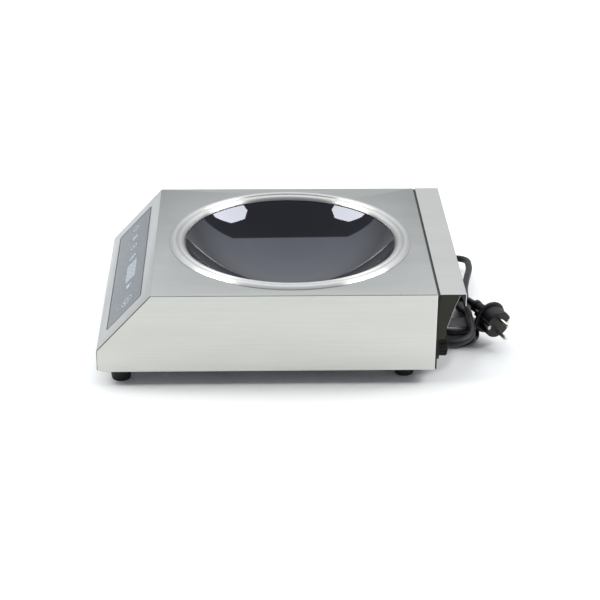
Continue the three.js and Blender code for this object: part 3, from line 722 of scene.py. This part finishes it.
def timer_icon(build, x):
    hoop(build, x, KEY_S, 0.0052, 0.0016)
    bar(build, x, KEY_S + 0.0016, 0.0009, 0.0034)
    bar(build, x + 0.0012, KEY_S, 0.0028, 0.0009)


def function_icon(build, x):
    for row in (-0.0036, 0, 0.0036):
        bar(build, x, KEY_S + row, 0.0100, 0.0020)


def minus_icon(build, x):
    hoop(build, x, KEY_S, 0.0058, 0.0015)
    bar(build, x, KEY_S, 0.0062, 0.0014)


def plus_icon(build, x):
    hoop(build, x, KEY_S, 0.0058, 0.0015)
    bar(build, x, KEY_S, 0.0062, 0.0014)
    bar(build, x, KEY_S + 0.0019, 0.0014, 0.0024)
    bar(build, x, KEY_S - 0.0019, 0.0014, 0.0024)


def lock_icon(build, x):
    bar(build, x, KEY_S - 0.0018, 0.0086, 0.0058)
    hoop(build, x, KEY_S + 0.0014, 0.0028, 0.0011, 0, 180)


def power_icon(build, x):
    hoop(build, x, KEY_S, 0.0094, 0.0012)
    hoop(build, x, KEY_S, 0.0045, 0.0015, 125, 415)
    bar(build, x, KEY_S + 0.0034, 0.0011, 0.0050)


KEYS = {
    "key_timer": (-0.117, timer_icon),
    "key_function": (-0.0863, function_icon),
    "key_minus": (-0.0563, minus_icon),
    "key_plus": (-0.023, plus_icon),
    "key_lock": (0.064, lock_icon),
    "key_power": (0.1088, power_icon),
}
for key, (key_x, icon) in KEYS.items():
    key_build = bmesh.new()
    icon(key_build, key_x)
    finished(key_build, key + "_print", "mark", body=key, slot="key_glass", smooth=20)


def panel_prints():
    """Plain dashes under the keys and the display, and the standby dot."""
    build = bmesh.new()
    for name, (x, _) in KEYS.items():
        bar(build, x, KEY_S - (POWER_DASH_DROP if name == "key_power" else DASH_DROP), *DASH)
    bar(build, *DISPLAY_DASH)
    hoop(build, *STANDBY_DOT)
    return finished(build, "panel_small_prints", "faint", slot="panel_glass", smooth=20)


def display_segments():
    """Four unlit digits of seven segments behind the display window."""
    build = bmesh.new()
    for digit in range(4):
        x = DIGIT_X + digit * DIGIT_STEP
        for side in (-0.0031, 0.0031):
            for row in (-0.0030, 0.0030):
                bar(build, x + side, DISPLAY_S + row, 0.0010, 0.0048)
        for row in (-0.0062, 0, 0.0062):
            bar(build, x, DISPLAY_S + row, 0.0046, 0.0010)
    return finished(build, "display_segments", "faint", slot="display_glass", smooth=20)


def panel_gap_shade():
    """A black band in the gap round the control panel, painted shade for the dark gap."""
    build = bmesh.new()
    rows = []
    for out, n in ((-0.0008, 0.00012), (0.0008, 0.00012), (0.0008, -0.0012), (-0.0008, -0.0001)):
        radius = PANEL_CORNER_R + out
        row = []
        for sx, sy, start in ((1, 1, 0), (-1, 1, 90), (-1, -1, 180), (1, -1, 270)):
            x = (PANEL_HIGH if sx > 0 else PANEL_LOW)[0] - sx * PANEL_CORNER_R
            s = (PANEL_HIGH if sy > 0 else PANEL_LOW)[1] - sy * PANEL_CORNER_R
            for i in range(7):
                angle = math.radians(start + 15 * i)
                row.append(build.verts.new(SLOPE_FRAME @ Vector(
                    (x + radius * math.cos(angle), s + radius * math.sin(angle), n))))
        rows.append(row)
    join_rows(build, rows + rows[:1])
    return finished(build, "panel_gap_shade", "silicone", slot="silicone")


panel_prints()
display_segments()
panel_gap_shade()

CHEEK_X = (0.1649, 0.16605)
CHEEK_EDGE_DEPTH = 0.0003


def cheek_edge():
    """The bare cut edge of the deflector's near and far cheeks."""
    build = bmesh.new()
    inner, outer = CHEEK_X
    corners = ((inner, 0), (outer, 0), (outer, CHEEK_EDGE_DEPTH), (inner, CHEEK_EDGE_DEPTH))
    line = mm([(214.9, 117.8), (214.7, 115), (211.7, 108), (208.4, 99), (201.3, 74.6)])
    for side in (-1, 1):
        rows = [[build.verts.new((side * x, y + deep, z)) for x, deep in corners] for y, z in line]
        join_rows(build, rows)
        build.faces.new(rows[0])
        build.faces.new(rows[-1])
    return finished(build, "cheek_cut_edge", "wire", slot="brushed_steel")


cheek_edge()

# Materials of the CAD nodes that stay

CORNERS = ("front_left", "front_right", "rear_left", "rear_right")
KEEP = {
    "inside": ["sensor_holder"],
    # Painted shade: the back plate takes the dark sheet so the seam under the hood reads dark.
    "olive": ["back_plate"],
    "zinc": ["base_plate"],
    "plastic": ["panel_frame", "coil_carrier", "cable_gland", "gland_nut", "fan_frame_left",
                "fan_frame_right", "fan_rotor_left", "fan_rotor_right", "display_module", "terminal_block",
                "power_transistor", "bridge_rectifier"],
    "silicone": ["bowl_seal"],
    "mica": ["mica_sheet"],
    "copper": ["induction_coil", "choke_coil"],
    "ferrite": [f"ferrite_bar_{i}" for i in range(1, 7)],
    "aluminium": ["temperature_sensor", "heat_sink"],
    "wire": ["sensor_spring", *[f"foot_screw_{corner}" for corner in CORNERS]],
    "panel": ["control_panel", *KEYS],
    "display": ["display_window"],
    "board": ["control_board", "main_board"],
    "epoxy": ["resonant_capacitor", "filter_capacitor"],
    "rubber": [f"foot_{corner}" for corner in CORNERS],
}
for material_name, nodes in KEEP.items():
    for node_name in nodes:
        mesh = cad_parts[node_name].data
        mesh.materials.clear()
        mesh.materials.append(mats[material_name])
        for polygon in mesh.polygons:
            polygon.material_index = 0
        smooth_shaded(mesh)

# Floor, surroundings and light

FLOOR_RADIUS = 14
FLOOR_Z = -0.0002
BOX_TARGET = Vector((0, BOWL_Y, 0.1))
BOX_DISTANCE = 2.2
BOX_SIZE = (1.5, 0.78)
BOX_COLOR = (1, 0.99, 0.93, 1)
BOX_STRENGTH = 12.5
WORLD_STRENGTH = 1.95
WORLD_TINT = (0.97, 0.985, 1)


def make_floor():
    build = bmesh.new()
    bmesh.ops.create_circle(build, cap_ends=True, segments=96, radius=FLOOR_RADIUS)
    floor = linked("floor", mesh_of(build, "floor"))
    floor.location.z = FLOOR_Z
    floor.data.materials.append(Nodes("floor_paper").base((0.88, 0.90, 0.94), 0.55).material)


def softbox(name, azimuth, elevation, roll):
    """A long eight-sided diffuser facing the bowl."""
    build = bmesh.new()
    bmesh.ops.create_circle(build, cap_ends=True, segments=8, radius=1)
    bmesh.ops.scale(build, vec=(BOX_SIZE[0] / 2, BOX_SIZE[1] / 2, 1), verts=build.verts)
    bmesh.ops.rotate(build, matrix=Matrix.Rotation(math.radians(roll), 3, "Z"), verts=build.verts)
    box = linked(name, mesh_of(build, name))
    a, e = math.radians(azimuth), math.radians(elevation)
    outward = Vector((math.cos(e) * math.cos(a), math.cos(e) * math.sin(a), math.sin(e)))
    box.location = BOX_TARGET + BOX_DISTANCE * outward
    box.rotation_mode = "QUATERNION"
    box.rotation_quaternion = (-outward).to_track_quat("-Z", "Y")
    m = Nodes(name)
    glow = m.add("ShaderNodeEmission", Strength=BOX_STRENGTH, Color=BOX_COLOR)
    m.link(glow.outputs["Emission"], m.tree.nodes["Material Output"].inputs["Surface"])
    box.data.materials.append(m.material)


def make_world():
    """White behind the hob and dark on the camera's side, as in a studio with one white wall."""
    world = bpy.data.worlds.new("studio")
    bpy.context.scene.world = world
    world.use_nodes = True
    tree = world.node_tree
    nodes, links = tree.nodes, tree.links
    where = nodes.new("ShaderNodeTexCoord")
    split = nodes.new("ShaderNodeSeparateXYZ")
    links.new(where.outputs["Generated"], split.inputs["Vector"])
    x, y, z = (split.outputs[axis] for axis in "XYZ")

    def sums(kind, first, second):
        node = nodes.new("ShaderNodeMath")
        node.operation = kind
        for socket, value in zip(node.inputs, (first, second)):
            if isinstance(value, bpy.types.NodeSocket):
                links.new(value, socket)
            else:
                socket.default_value = value
        return node.outputs[0]

    def greys(source, stops):
        return color_ramp(tree, source, [(at, [grey * c for c in WORLD_TINT]) for at, grey in stops])

    # The wall's edge is a curve low down and two straight lines further out
    curved = sums("DIVIDE", sums("MULTIPLY", sums("MULTIPLY", y, y), 0.58), sums("MAXIMUM", z, 0.01))
    straight = sums("ADD", sums("MULTIPLY", sums("ABSOLUTE", y, 0), 0.42), sums("MULTIPLY", z, 0.05))
    past_edge = sums("ADD", x, sums("MINIMUM", curved, straight))
    facing = greys(sums("ADD", past_edge, 0.5), [(0.49, 0.0), (0.51, 1.0)])
    wall = greys(z, [(0.0, 0.30), (0.30, 0.36), (0.60, 0.80), (0.85, 1.0)])
    room = greys(z, [(0.0, 0.22), (0.25, 0.16), (1.0, 0.13)])
    path = nodes.new("ShaderNodeLightPath")
    seen = color_mix(tree, path.outputs["Is Camera Ray"], color_mix(tree, facing, wall, room), (1, 1, 1, 1))
    background = nodes["Background"]
    links.new(seen, background.inputs["Color"])
    background.inputs["Strength"].default_value = WORLD_STRENGTH


make_floor()
softbox("softbox_rear", 88, 41, -47)
softbox("softbox_front", -88, 41, 47)
make_world()
bpy.context.scene.view_settings.view_transform = "Standard"
